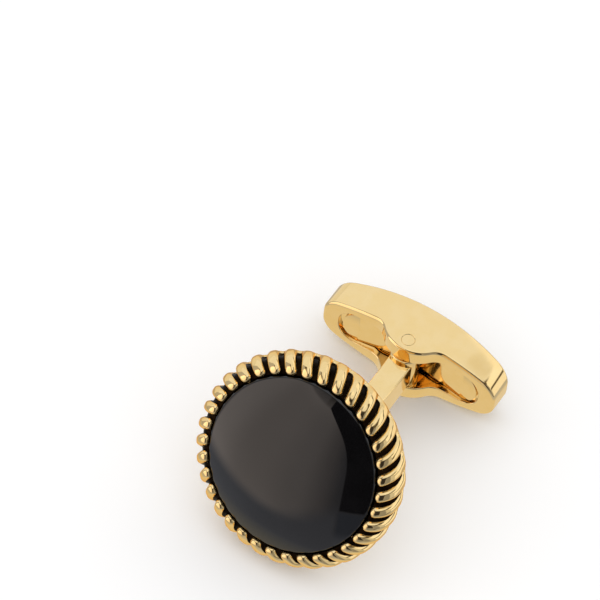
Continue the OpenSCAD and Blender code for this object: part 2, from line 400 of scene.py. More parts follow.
class Bench:
    """A node tree being wired up."""

    def __init__(self, tree: bpy.types.NodeTree) -> None:
        """Clears the tree.

        Args:
            tree: The tree to wire.
        """
        self.tree = tree
        tree.nodes.clear()

    def node(self, kind: str, **settings: object) -> bpy.types.Node:
        """Adds a node.

        Args:
            kind: The node's type name.
            **settings: Its properties.

        Returns:
            The node.
        """
        made = self.tree.nodes.new(kind)
        for key, value in settings.items():
            setattr(made, key, value)
        return made

    def place(self) -> Socket:
        """Adds the coordinates on a piece, in metres."""
        return self.node("ShaderNodeTexCoord").outputs["Object"]

    def wire(self, source: object, target: Socket) -> None:
        """Feeds a socket from another socket, or sets it to a value.

        Args:
            source: A socket, a number or a tuple.
            target: The socket to feed.
        """
        if isinstance(source, Socket):
            self.tree.links.new(source, target)
        elif source is not None:
            target.default_value = source

    def math(self, operation: str, *values: object) -> Socket:
        """Adds a sum.

        Args:
            operation: The Math node's operation.
            *values: Sockets or numbers.

        Returns:
            The result's socket.
        """
        made = self.node("ShaderNodeMath", operation=operation)
        for index, value in enumerate(values):
            self.wire(value, made.inputs[index])
        return made.outputs[0]

    def span(
        self,
        value: object,
        low: float,
        high: float,
        at_low: float = 0.0,
        at_high: float = 1.0,
        kind: str = "SMOOTHSTEP",
    ) -> Socket:
        """Maps a span of a value to another span.

        Args:
            value: Socket of the value.
            low: Value that gives at_low.
            high: Value that gives at_high.
            at_low: First end of the result.
            at_high: Second end of the result.
            kind: How it runs between them.

        Returns:
            The result's socket.
        """
        made = self.node("ShaderNodeMapRange", interpolation_type=kind, clamp=True)
        for index, number in enumerate((value, low, high, at_low, at_high)):
            self.wire(number, made.inputs[index])
        return made.outputs[0]

    def tint(self, share: object, first: object, second: object) -> Socket:
        """Mixes two colours.

        Args:
            share: How much of the second.
            first: Colour or socket.
            second: Colour or socket.

        Returns:
            The mixed colour's socket.
        """
        made = self.node("ShaderNodeMix", data_type="RGBA")
        self.wire(share, made.inputs[0])
        self.wire(first, made.inputs[6])
        self.wire(second, made.inputs[7])
        return made.outputs[2]

    def grain(self, place: object, scale: float, detail: float = 2.0, roughness: float = 0.5) -> Socket:
        """Adds a noise.

        Args:
            place: Socket of the coordinates.
            scale: Repeats per metre.
            detail: Octaves.
            roughness: Strength of the finer octaves.

        Returns:
            The noise's value, about 0.5 in the middle.
        """
        made = self.node("ShaderNodeTexNoise")
        self.wire(place, made.inputs["Vector"])
        self.wire(scale, made.inputs["Scale"])
        self.wire(detail, made.inputs["Detail"])
        self.wire(roughness, made.inputs["Roughness"])
        return made.outputs["Fac"]

    def relief(self, heights: Iterable[tuple[object, float]]) -> Socket:
        """Stacks bumps.

        Args:
            heights: Height sockets, each with its depth in metres.

        Returns:
            The bent normal's socket.
        """
        normal = None
        for height, depth in heights:
            made = self.node("ShaderNodeBump")
            made.inputs["Strength"].default_value = 1.0
            made.inputs["Distance"].default_value = depth
            self.wire(height, made.inputs["Height"])
            self.wire(normal, made.inputs["Normal"])
            normal = made.outputs["Normal"]
        return normal


@dataclass(frozen=True)
class Gold:
    """Polished pale gold plate, with faint polishing marks and a slightly wavy skin."""

    name: str = "polished_gold_plate"
    pale: Colour = (0.93, 0.70, 0.34, 1.0)
    warm: Colour = (0.92, 0.68, 0.31, 1.0)
    gloss: float = 0.06
    dull: float = 0.11
    wave_scale: float = 420.0
    cloud_scale: float = 900.0
    mark_scale: float = 9000.0
    wave_depth: float = 7.0e-7
    mark_depth: float = 1.2e-7

    def skin(self, bench: Bench) -> Skin:
        """Wires the metal's colour, roughness and relief.

        Args:
            bench: The tree to wire it in.

        Returns:
            Sockets of the colour, the roughness and the normal.
        """
        place = bench.place()
        wave = bench.grain(place, self.wave_scale)
        cloud = bench.grain(place, self.cloud_scale, 3.0)
        marks = bench.grain(place, self.mark_scale, 2.0, 0.6)
        colour = bench.tint(bench.span(cloud, 0.35, 0.65), self.pale, self.warm)
        rough = bench.span(marks, 0.3, 0.7, self.gloss, self.dull)
        normal = bench.relief([(wave, self.wave_depth), (marks, self.mark_depth)])
        return colour, rough, normal

    def make(self) -> bpy.types.Material:
        """Makes the material."""
        material, bench, shader = shader_of(self.name)
        colour, rough, normal = self.skin(bench)
        shader.inputs["Metallic"].default_value = 1.0
        bench.wire(colour, shader.inputs["Base Color"])
        bench.wire(rough, shader.inputs["Roughness"])
        bench.wire(normal, shader.inputs["Normal"])
        return material


@dataclass(frozen=True)
class Enamel:
    """Glossy enamel, near black and a little brown, pooled and dimpled."""

    name: str = "dark_enamel"
    deep: Colour = (0.0035, 0.0018, 0.0008, 1.0)
    thin: Colour = (0.012, 0.0055, 0.0018, 1.0)
    gloss: float = 0.16
    dull: float = 0.34
    pool_scale: float = 1300.0
    speck_scale: float = 5200.0
    dimple_depth: float = 8.0e-6
    mirror: float = 0.014
    mirror_tint: Colour = (1.0, 0.72, 0.45, 1.0)

    def skin(self, bench: Bench) -> Skin:
        """Wires the enamel's colour, roughness and relief.

        Args:
            bench: The tree to wire it in.

        Returns:
            Sockets of the colour, the roughness and the normal.
        """
        place = bench.place()
        pool = bench.grain(place, self.pool_scale, 3.0)
        speck = bench.grain(place, self.speck_scale)
        colour = bench.tint(bench.span(pool, 0.35, 0.7), self.deep, self.thin)
        rough = bench.span(speck, 0.3, 0.7, self.gloss, self.dull)
        return colour, rough, bench.relief([(pool, self.dimple_depth)])

    def tone(self, shader: bpy.types.Node) -> None:
        """Sets how strongly and in which tint the enamel mirrors."""
        shader.inputs["Specular IOR Level"].default_value = self.mirror
        shader.inputs["Specular Tint"].default_value = self.mirror_tint

    def make(self) -> bpy.types.Material:
        """Makes the material."""
        material, bench, shader = shader_of(self.name)
        colour, rough, normal = self.skin(bench)
        bench.wire(colour, shader.inputs["Base Color"])
        bench.wire(rough, shader.inputs["Roughness"])
        bench.wire(normal, shader.inputs["Normal"])
        self.tone(shader)
        return material


@dataclass(frozen=True)
class EnamelledGold:
    """Gold lobes with dark enamel in the grooves between them, told apart by the rim's own depths."""

    gold: Gold
    enamel: Enamel
    name: str = "gold_with_enamelled_grooves"
    fill_level: float = 0.6
    edge: float = 0.035
    creep: float = 0.05
    creep_scale: float = 1500.0

    def make(self) -> bpy.types.Material:
        """Makes the material."""
        material, bench, shader = shader_of(self.name)
        depth = bench.node("ShaderNodeAttribute", attribute_name=GadroonedRim.DEPTH).outputs["Fac"]
        place = bench.place()
        drift = bench.grain(place, self.creep_scale)
        creep = bench.span(drift, 0.3, 0.7, -self.creep, self.creep, "LINEAR")
        share = bench.span(
            bench.math("ADD", depth, creep), self.fill_level - self.edge, self.fill_level + self.edge
        )
        metal, filler = self.gold.skin(bench), self.enamel.skin(bench)
        bench.wire(bench.tint(share, metal[0], filler[0]), shader.inputs["Base Color"])
        rough = bench.node("ShaderNodeMix", data_type="FLOAT")
        bench.wire(share, rough.inputs[0])
        bench.wire(metal[1], rough.inputs[2])
        bench.wire(filler[1], rough.inputs[3])
        bench.wire(rough.outputs[0], shader.inputs["Roughness"])
        bench.wire(bench.math("SUBTRACT", 1.0, share), shader.inputs["Metallic"])
        bench.wire(metal[2], shader.inputs["Normal"])
        self.enamel.tone(shader)
        return material


@dataclass(frozen=True)
class Onyx:
    """Polished black stone, with a faint cloud in its depth."""

    name: str = "polished_black_stone"
    black: Colour = (0.0022, 0.0021, 0.0023, 1.0)
    cloud: Colour = (0.0042, 0.0040, 0.0044, 1.0)
    gloss: float = 0.015
    dull: float = 0.035
    index: float = 1.54
    drift_scale: float = 260.0
    drift_depth: float = 4.0e-7
    polish_scale: float = 2400.0

    def make(self) -> bpy.types.Material:
        """Makes the material."""
        material, bench, shader = shader_of(self.name)
        place = bench.place()
        drift = bench.grain(place, self.drift_scale, 4.0)
        polish = bench.grain(place, self.polish_scale)
        colour = bench.tint(bench.span(drift, 0.4, 0.7), self.black, self.cloud)
        bench.wire(colour, shader.inputs["Base Color"])
        bench.wire(bench.span(polish, 0.3, 0.7, self.gloss, self.dull), shader.inputs["Roughness"])
        bench.wire(bench.relief([(drift, self.drift_depth)]), shader.inputs["Normal"])
        shader.inputs["IOR"].default_value = self.index
        return material


def shader_of(name: str) -> tuple[bpy.types.Material, Bench, bpy.types.Node]:
    """Starts a material with its main shader in place.

    Args:
        name: The material's name.

    Returns:
        The material, the bench to wire it on and the shader.
    """
    material = bpy.data.materials.new(name)
    material.use_nodes = True
    bench = Bench(material.node_tree)
    shader = bench.node("ShaderNodeBsdfPrincipled")
    out = bench.node("ShaderNodeOutputMaterial")
    bench.wire(shader.outputs["BSDF"], out.inputs["Surface"])
    return material, bench, shader


@dataclass
class Finishes:
    """The cufflink's materials, each made once."""

    gold: bpy.types.Material = field(default_factory=lambda: Gold().make())
    enamel: bpy.types.Material = field(default_factory=lambda: Enamel().make())
    rim: bpy.types.Material = field(default_factory=lambda: EnamelledGold(Gold(), Enamel()).make())
    onyx: bpy.types.Material = field(default_factory=lambda: Onyx().make())


def dress(made: bpy.types.Object, node: str, body: Body, slot: Slot, finish: bpy.types.Material) -> None:
    """Gives a piece its finish and its place among the bodies, and reports it.

    Args:
        made: The piece.
        node: The solid that it stands for.
        body: The body that it rides on.
        slot: The record's material slot; not used.
        finish: The material.
    """
    made.data.materials.clear()
    made.data.materials.append(finish)
    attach(made, body.value)
    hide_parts(node)
    made.data.calc_loop_triangles()
    LOG.info("%s: %d triangles, %s", made.name, len(made.data.loop_triangles), finish.name)


@dataclass
class Stone:
    """The round black stone with a domed front."""

    lay: Lay
    radius: float = 7.3
    dome_rise: float = 1.85
    edge_z: float = 3.18
    seat_z: float = 0.93
    foot_chamfer: float = 0.12
    shoulder: float = 0.14

    @property
    def dome_r(self) -> float:
        """Radius of the dome."""
        return (self.radius**2 + self.dome_rise**2) / (2.0 * self.dome_rise)

    def build(self, finishes: Finishes) -> bpy.types.Object:
        """Shapes and dresses the stone.

        Args:
            finishes: The materials.

        Returns:
            The piece.
        """
        shape = Shape()
        pen = shape.pen((0.0, 0.0, self.seat_z))
        pen.line((self.radius - self.foot_chamfer, 0.0, self.seat_z))
        pen.line((self.radius, 0.0, self.seat_z + self.foot_chamfer))
        pen.line((self.radius, 0.0, self.edge_z))
        centre = (0.0, 0.0, self.edge_z + self.dome_rise - self.dome_r)
        pen.arc(centre, (0.0, -1.0, 0.0), math.asin(self.radius / self.dome_r), 36)
        shape.lathe(ROUND)
        shape.soften(shape.creases_at(40.0, 2, self.edge_z), self.shoulder, 5)
        made = shape.piece("domed_stone", self.lay.face)
        dress(made, "stone", Body.FACE, Slot.ONYX, finishes.onyx)
        return made


@dataclass
class GadroonedRim:
    """The gold ring whose lobes lean round it, with enamelled grooves between them."""

    DEPTH = "groove_depth_share"

    lay: Lay
    lobes: int = 35
    steps_per_lobe: int = 30
    twist: float = 0.068
    phase: float = math.radians(4.9)
    groove_depth: float = 0.5
    lobe_half_w: float = 0.58
    lobe_power: float = 3.2
    wall_r: float = 7.69
    wall_z: float = 2.7
    tip_wall_r: float = 7.42
    foot_z: float = 0.03
    enamel_z: float = 2.0
    tip_angle: float = math.radians(82.0)
    tip_centre: float = math.radians(67.0)
    top_angle: float = math.radians(86.0)
    back_angle: float = math.radians(-74.0)
    # where each stretch of the section ends, in degrees, and how many rings of faces it has
    bands: tuple[tuple[float, int], ...] = ((50.0, 18), (-16.0, 15), (-50.0, 11), (-74.0, 5))
    fade_from: float = math.radians(-14.0)
    fade_to: float = math.radians(-46.0)

    def crest(self, angle: float) -> float:
        """Radius of the section at an angle, over the lobes' crests."""
        if angle >= 0.0:
            return self.lay.section_r
        power = self.lay.back_fullness
        return self.lay.section_r * (math.cos(angle) ** power + (-math.sin(angle)) ** power) ** (-1.0 / power)

    def lean(self, angle: float) -> float:
        """How far a lobe has turned round the face at an angle on the section."""
        return self.twist * (self.tip_angle - angle)

    def depth_share(self, angle: float, across: float) -> float:
        """How deep the skin lies in a groove, from 0 on a crest to 1 at a groove's bottom.

        Args:
            angle: Angle on the section, from the ring's outside towards the front.
            across: Angle round the face from the nearest lobe's middle line.

        Returns:
            The share.
        """
        section = self.lay.section_r
        radius = self.lay.ring_r + section * math.cos(angle)
        slope = math.atan(self.twist * radius / section)
        beyond = (angle - self.tip_centre) * section / math.cos(slope) - across * radius * math.sin(slope)
        off = math.hypot(across * radius * math.cos(slope), max(0.0, beyond))
        fade = smooth_step(self.fade_to, self.fade_from, angle)
        widest = math.pi / self.lobes * radius * math.cos(slope)
        half = widest + (self.lobe_half_w - widest) * fade
        return min(1.0, off / half) ** self.lobe_power * min(1.0, 3.0 * fade)

    def place_ring(self, ring: list[Vert], angle: float, shares: bmesh.types.BMLayerItem) -> None:
        """Moves one ring of vertices onto the lobes' skin.

        Args:
            ring: The vertices, all at one angle on the section.
            angle: That angle.
            shares: The layer that keeps their depths.
        """
        pitch = 2.0 * math.pi / self.lobes
        least = self.tip_wall_r if angle > 0.0 else self.wall_r
        for vert in ring:
            turn = math.atan2(vert.co.y, vert.co.x)
            across = (turn / pitch - round(turn / pitch)) * pitch
            share = self.depth_share(angle, across)
            length = self.crest(angle) - self.groove_depth * share
            radius = max(least, self.lay.ring_r + length * math.cos(angle))
            azimuth = turn + self.phase + self.lean(angle)
            height = self.lay.section_r + length * math.sin(angle)
            vert.co = (radius * math.cos(azimuth), radius * math.sin(azimuth), height)
            vert[shares] = share

    def build(self, finishes: Finishes) -> bpy.types.Object:
        """Shapes and dresses the rim.

        Args:
            finishes: The materials.

        Returns:
            The piece.
        """
        shape = Shape()
        ring, section = self.lay.ring_r, self.lay.section_r
        start = (ring + section * math.cos(self.top_angle), 0.0, section * (1.0 + math.sin(self.top_angle)))
        pen = shape.pen(start)
        centre = (ring, 0.0, section)
        angle = self.top_angle
        for last, steps in self.bands:
            pen.arc(centre, Y_AXIS, angle - math.radians(last), steps)
            angle = math.radians(last)
        pen.line((self.wall_r, 0.0, self.foot_z))
        pen.line((self.wall_r, 0.0, self.wall_z), 6).close()
        shape.lathe(self.lobes * self.steps_per_lobe)
        shares = shape.mesh.verts.layers.float.new(self.DEPTH)
        rings: dict[float, list[Vert]] = {}
        for vert in shape.mesh.verts:
            radius = math.hypot(vert.co.x, vert.co.y)
            if abs(radius - self.wall_r) < CLOSE and vert.co.z <= self.wall_z + CLOSE:
                vert[shares] = 1.0 if vert.co.z > self.enamel_z else 0.0
                share = 1.0 - (vert.co.z - self.foot_z) / (self.wall_z - self.foot_z)
                turn = Matrix.Rotation(self.phase + share * self.lean(self.back_angle), 3, "Z")
                vert.co = turn @ vert.co
                continue
            angle = round(math.atan2(vert.co.z - section, radius - ring), 4)
            rings.setdefault(angle, []).append(vert)
        for angle, found in rings.items():
            self.place_ring(found, angle, shares)
        bmesh.ops.recalc_face_normals(shape.mesh, faces=shape.mesh.faces[:])
        made = shape.piece("gadrooned_gold_rim", self.lay.face, 60.0)
        dress(made, "gadrooned_rim", Body.FACE, Slot.GOLD, finishes.rim)
        return made


@dataclass
class EnamelRing:
    """The dark enamel in the channel between the stone's wall and the lobes."""

    lay: Lay
    lip_r: float = 7.33
    inner_r: float = 7.47
    outer_r: float = 7.66
    foot_z: float = 0.93
    lip_z: float = 2.43
    top_z: float = 2.6
    sag: float = 0.04
    trough_w: float = 0.16

    def build(self, finishes: Finishes) -> bpy.types.Object:
        """Shapes and dresses the ring.

        Args:
            finishes: The materials.

        Returns:
            The piece.
        """
        shape = Shape()
        middle, half, low = (self.lip_r + self.outer_r) / 2.0, self.trough_w / 2.0, self.top_z - self.sag
        pen = shape.pen((self.inner_r, 0.0, self.foot_z))
        pen.line((self.outer_r, 0.0, self.foot_z)).line((self.outer_r, 0.0, self.top_z))
        pen.line((middle + half, 0.0, low)).line((middle - half, 0.0, low))
        pen.line((self.lip_r, 0.0, self.top_z)).line((self.lip_r, 0.0, self.lip_z))
        pen.line((self.inner_r, 0.0, self.lip_z)).close()
        shape.lathe(ROUND)
        made = shape.piece("channel_enamel", self.lay.face, 50.0)
        dress(made, "enamel_ring", Body.FACE, Slot.ENAMEL, finishes.enamel)
        return made


@dataclass
class CupAndPost:
    """The back plate, the thin wall round the stone and the bent flat post, soldered into one."""

    lay: Lay
    plate_r: float = 7.66
    plate_t: float = 0.9
    wall_in_r: float = 7.33
    wall_out_r: float = 7.44
    wall_top_z: float = 2.4
    back_round: float = 0.12
    lip_round: float = 0.03
    foot_w: float = 5.6
    foot_y: float = 0.9
    foot_z: float = 0.1
    foot_t: float = 1.7
    neck_w: float = 2.5
    neck_y: float = 0.12
    neck_z: float = 1.1
    neck_t: float = 2.1
    near_bow: float = 1.9
    far_bow: float = 1.75
    arris: float = 0.15
    head_r: float = 1.25
    head_w: float = 3.4
    head_round: float = 0.1
    bore_r: float = 0.6
    taper_reach: float = 1.2

    def cup(self) -> bpy.types.Object:
        """Spins the back plate and the wall round the stone, in the face's frame."""
        shape = Shape()
        pen = shape.pen((0.0, 0.0, 0.0))
        pen.line((self.plate_r, 0.0, 0.0)).line((self.plate_r, 0.0, self.plate_t))
        pen.line((self.wall_out_r, 0.0, self.plate_t)).line((self.wall_out_r, 0.0, self.wall_top_z))
        pen.line((self.wall_in_r, 0.0, self.wall_top_z)).line((self.wall_in_r, 0.0, self.plate_t))
        pen.line((0.0, 0.0, self.plate_t))
        shape.lathe(ROUND)
        shape.soften(shape.creases_at(60.0, 2, 0.0), self.back_round)
        shape.soften(shape.creases_at(60.0, 2, self.wall_top_z), self.lip_round, 2)
        return shape.piece("cup", self.lay.face)

    def side(self, pen: Pen, foot: Vector, neck: Vector, bow: float) -> None:
        """Draws one long edge of the post's side view, from the foot down past the neck.

        Args:
            pen: The pen, set down at the foot.
            foot: The edge's upper end.
            neck: The end of its arc.
            bow: How far the arc bows to the left of its way.
        """
        way = neck - foot
        radius = (way.length**2 + 4.0 * bow**2) / (8.0 * bow)
        left = Vector((0.0, -way.z, way.y)).normalized()
        centre = (foot + neck) / 2.0 + left * (bow - radius)
        pen.arc(tuple(centre), (1.0, 0.0, 0.0), -2.0 * math.asin(way.length / 2.0 / radius), 48)
        pen.line((0.0, neck.y, 0.0), 3)

    def post(self) -> bpy.types.Object:
        """Shapes the post's blade, in the pin's frame."""
        shape = Shape()
        half, neck = self.foot_w / 2.0, self.neck_w / 2.0
        for sign, bow in ((-1.0, self.near_bow), (1.0, self.far_bow)):
            foot = self.lay.face_in_pin @ Vector((0.0, self.foot_y + sign * half, self.foot_z))
            top = Vector((0.0, self.neck_y + sign * neck, self.neck_z))
            self.side(shape.pen(tuple(foot)), foot, top, bow)
        bmesh.ops.bridge_loops(shape.mesh, edges=shape.mesh.edges[:])
        blade = bmesh.ops.extrude_face_region(shape.mesh, geom=shape.mesh.faces[:])
        raised = {v for v in blade["geom"] if isinstance(v, Vert)}
        height = self.lay.post_drop * self.taper_reach
        for vert in shape.mesh.verts:
            share = vert.co.z / height
            thickness = self.neck_t + (self.foot_t - self.neck_t) * share
            vert.co.x = thickness / 2.0 if vert in raised else -thickness / 2.0
        shape.settle()
        shape.soften(shape.creases(50.0), self.arris)
        return shape.piece("post", self.lay.pin)

    def barrel(self, inner: float, outer: float, half: float) -> Shape:
        """Spins a barrel round the pin's axis.

        Args:
            inner: Inner radius, 0 for a full one.
            outer: Outer radius.
            half: Half its length.

        Returns:
            The shape, in the pin's frame.
        """
        shape = Shape()
        pen = shape.pen((inner, -half, 0.0)).line((outer, -half, 0.0)).line((outer, half, 0.0))
        pen.line((inner, half, 0.0))
        if inner > 0.0:
            pen.close()
        shape.lathe(96, Y_AXIS)
        return shape

    def build(self, finishes: Finishes) -> bpy.types.Object:
        """Shapes, joins and dresses cup, post and head.

        Args:
            finishes: The materials.

        Returns:
            The piece.
        """
        made = self.cup()
        made.name = "cup_with_post"
        head = self.barrel(0.0, self.head_r, self.head_w / 2.0)
        head.soften(head.creases(60.0), self.head_round)
        post = self.post()
        combine(post, head.piece("head", self.lay.pin), "UNION")
        bore = self.barrel(0.0, self.bore_r, self.head_w)
        combine(post, bore.piece("bore", self.lay.pin), "DIFFERENCE")
        combine(made, post, "UNION")
        crisp(made)
        dress(made, "cup_and_post", Body.FACE, Slot.GOLD, finishes.gold)
        return made


@dataclass
class Toggle:
    """The boat-shaped bar with two ears and a long pocket."""

    lay: Lay
    length: float = 16.15
    width: float = 6.44
    bow_r: float = 22.8
    corner_r: float = 1.8
    outer_drop: float = 3.8
    outer_bow_r: float = 34.4
    wall_drop: float = 0.48
    ear_rise: float = 1.06
    ear_r: float = 2.8
    ear_fillet_r: float = 1.5
    pocket_w: float = 3.5
    pocket_l: float = 13.2
    pocket_corner_r: float = 1.65
    pocket_flare: float = 0.42
    # how far from the pin the pocket's side is divided evenly, its wall is upright, and it is all flared
    even_x: float = 4.76
    straight_x: float = 2.7
    flared_x: float = 3.3
    floor_gap: float = 0.28
    pin_r: float = 0.56
    arris: float = 0.26
    pocket_arris: float = 0.1
    lip: float = 0.02
    overrun: float = 0.5
    round_steps: int = 6

    @property
    def corner(self) -> tuple[float, float, float]:
        """Centre of the outline's corner in x and y, and the angle at which the long arc meets it."""
        x = self.length / 2.0 - self.corner_r
        low = self.width / 2.0 - self.bow_r
        rise = math.sqrt((self.bow_r - self.corner_r) ** 2 - x * x)
        return x, low + rise, math.atan2(rise, x)

    def crown(self, x: float) -> float:
        """Height of the walls and ears at a distance along the toggle.

        Args:
            x: Distance from the pin.

        Returns:
            The height over the pin's centre.
        """
        x = abs(x)
        ear_z, fillet_z = self.ear_rise - self.ear_r, self.ear_fillet_r - self.wall_drop
        reach = math.sqrt((self.ear_r + self.ear_fillet_r) ** 2 - (fillet_z - ear_z) ** 2)
        switch = self.ear_r * reach / (self.ear_r + self.ear_fillet_r)
        if x <= switch:
            return ear_z + math.sqrt(self.ear_r**2 - x * x)
        if x < reach:
            return fillet_z - math.sqrt(self.ear_fillet_r**2 - (reach - x) ** 2)
        return -self.wall_drop

    def keel(self, x: float) -> float:
        """Height of the bowed outer face at a distance along the toggle."""
        return self.outer_bow_r - self.outer_drop - math.sqrt(self.outer_bow_r**2 - x * x)

    def floor(self, x: float) -> float:
        """Height of the pocket's floor, under the spring, at a distance along the toggle."""
        return self.lay.spring_top(x) - self.floor_gap

    def outline(self, shape: Shape) -> None:
        """Draws a quarter of the bar's outline within its rounded arris: half a long arc and a corner."""
        x, y, angle = self.corner
        pen = shape.pen((0.0, self.width / 2.0 - self.arris, 0.0))
        pen.arc((0.0, self.width / 2.0 - self.bow_r, 0.0), (0, 0, -1.0), math.pi / 2.0 - angle, 40)
        pen.arc((x, y, 0.0), (0, 0, -1.0), angle, 10)

    def slot(self, shape: Shape) -> None:
        """Draws a quarter of the pocket's outline outside its rounded arris: half a side and a corner."""
        x, y = self.pocket_l / 2.0 - self.pocket_corner_r, self.pocket_w / 2.0 - self.pocket_corner_r
        side = self.pocket_w / 2.0 + self.pocket_arris
        pen = shape.pen((0.0, side, 0.0)).line((self.even_x, side, 0.0), 28).line((x, side, 0.0))
        pen.arc((x, y, 0.0), (0, 0, -1.0), math.pi / 2.0, 21)

    def outward(self, point: Vector) -> Vector:
        """Direction square to the bar's outline at a point near it."""
        x, y, angle = self.corner
        centre = Vector((math.copysign(x, point.x), y, point.z))
        if math.atan2(abs(point.y) - y, abs(point.x) - x) > angle:
            centre = Vector((0.0, self.width / 2.0 - self.bow_r, point.z))
        centre.y = math.copysign(1.0, point.y) * centre.y
        return (point - centre).normalized()

    def inward(self, point: Vector) -> Vector:
        """Direction square to the pocket's outline at a point near it, towards the pocket's middle."""
        x, y = self.pocket_l / 2.0 - self.pocket_corner_r, self.pocket_w / 2.0 - self.pocket_corner_r
        core = Vector((max(-x, min(x, point.x)), max(-y, min(y, point.y)), point.z))
        return (core - point).normalized()

    def roll(
        self,
        shape: Shape,
        rim: Iterable[Edge],
        way: Callable[[Vector], Vector],
        radius: float,
        upper: bool = True,
    ) -> list[Edge]:
        """Rolls a wall's edge over a quarter round.

        Args:
            shape: The mesh.
            rim: Edges of the loop that the round starts from.
            way: Direction away from the loop, square to it.
            radius: Radius of the round.
            upper: Whether the round leads from a face down into a wall, or from a wall into a face below.

        Returns:
            Edges of the loop that the round ends in.
        """
        for step in range(self.round_steps):
            first, last = (math.pi / 2.0 * turn / self.round_steps for turn in (step, step + 1))
            rise, run = math.cos(first) - math.cos(last), math.sin(last) - math.sin(first)
            out, down = (run, rise) if upper else (rise, run)
            fall = Vector((0.0, 0.0, down * radius))
            rim = self.drop(shape, rim, lambda p: p + way(p) * out * radius - fall)
        return rim

    def drop(
        self, shape: Shape, rim: Iterable[Edge], place: Callable[[Vector], Vector]
    ) -> list[Edge]:
        """Drops a wall from a loop.

        Args:
            shape: The mesh.
            rim: Edges of the loop that the wall hangs from.
            place: Gives the wall's foot under a point of the loop.

        Returns:
            Edges of the wall's foot.
        """
        wall = bmesh.ops.extrude_edge_only(shape.mesh, edges=list(rim))["geom"]
        feet = {v for v in wall if isinstance(v, Vert)}
        for vert in feet:
            vert.co = place(vert.co)
        return [e for e in wall if isinstance(e, Edge) and feet.issuperset(e.verts)]

    def flared(self, point: Vector) -> Vector:
        """Takes a point of the pocket's rim down its flared wall, to the spring's level."""
        depth = point.z - self.lay.spring_top(point.x)
        inset = self.pocket_flare * depth * smooth_step(self.straight_x, self.flared_x, abs(point.x))
        foot = point + self.inward(point) * inset
        return Vector((foot.x, foot.y, self.lay.spring_top(foot.x)))

    def bar(self) -> Shape:
        """Shapes the bar with its ears and pocket, in its own frame."""
        shape = Shape()
        shape.loop(lambda: self.outline(shape))
        outer = shape.mesh.edges[:]
        shape.loop(lambda: self.slot(shape))
        inner = [e for e in shape.mesh.edges if e not in outer]
        bmesh.ops.bridge_loops(shape.mesh, edges=shape.mesh.edges[:])
        for vert in shape.mesh.verts:
            vert.co.z = self.crown(vert.co.x)
        outer = self.roll(shape, outer, self.outward, self.arris)
        outer = self.drop(shape, outer, lambda p: Vector((p.x, p.y, self.keel(p.x) + self.arris)))
        shape.deck(self.roll(shape, outer, lambda p: -self.outward(p), self.arris, False))
        inner = self.roll(shape, inner, self.inward, self.pocket_arris)
        inner = self.drop(shape, inner, self.flared)
        shape.deck(self.drop(shape, inner, lambda p: Vector((p.x, p.y, self.floor(p.x)))))
        shape.settle()
        return shape

    def bore(self) -> Shape:
        """Spins the cutter of the pin's hole, flared where it leaves the ears."""
        shape = Shape()
        inside, outside = self.width / 2.0 - self.lip, self.width / 2.0 + self.overrun
        flare = self.pin_r + self.lip + self.overrun
        pen = shape.pen((0.0, -outside, 0.0)).line((flare, -outside, 0.0))
        pen.line((self.pin_r, -inside, 0.0)).line((self.pin_r, inside, 0.0))
        pen.line((flare, outside, 0.0)).line((0.0, outside, 0.0))
        shape.lathe(64, Y_AXIS)
        return shape

    def build(self, finishes: Finishes) -> bpy.types.Object:
        """Shapes and dresses the toggle.

        Args:
            finishes: The materials.

        Returns:
            The piece.
        """
        made = self.bar().piece("toggle_bar", self.lay.toggle)
        combine(made, self.bore().piece("pin_bore", self.lay.toggle), "DIFFERENCE")
        crisp(made)
        dress(made, "toggle", Body.SWIVEL, Slot.GOLD, finishes.gold)
        return made


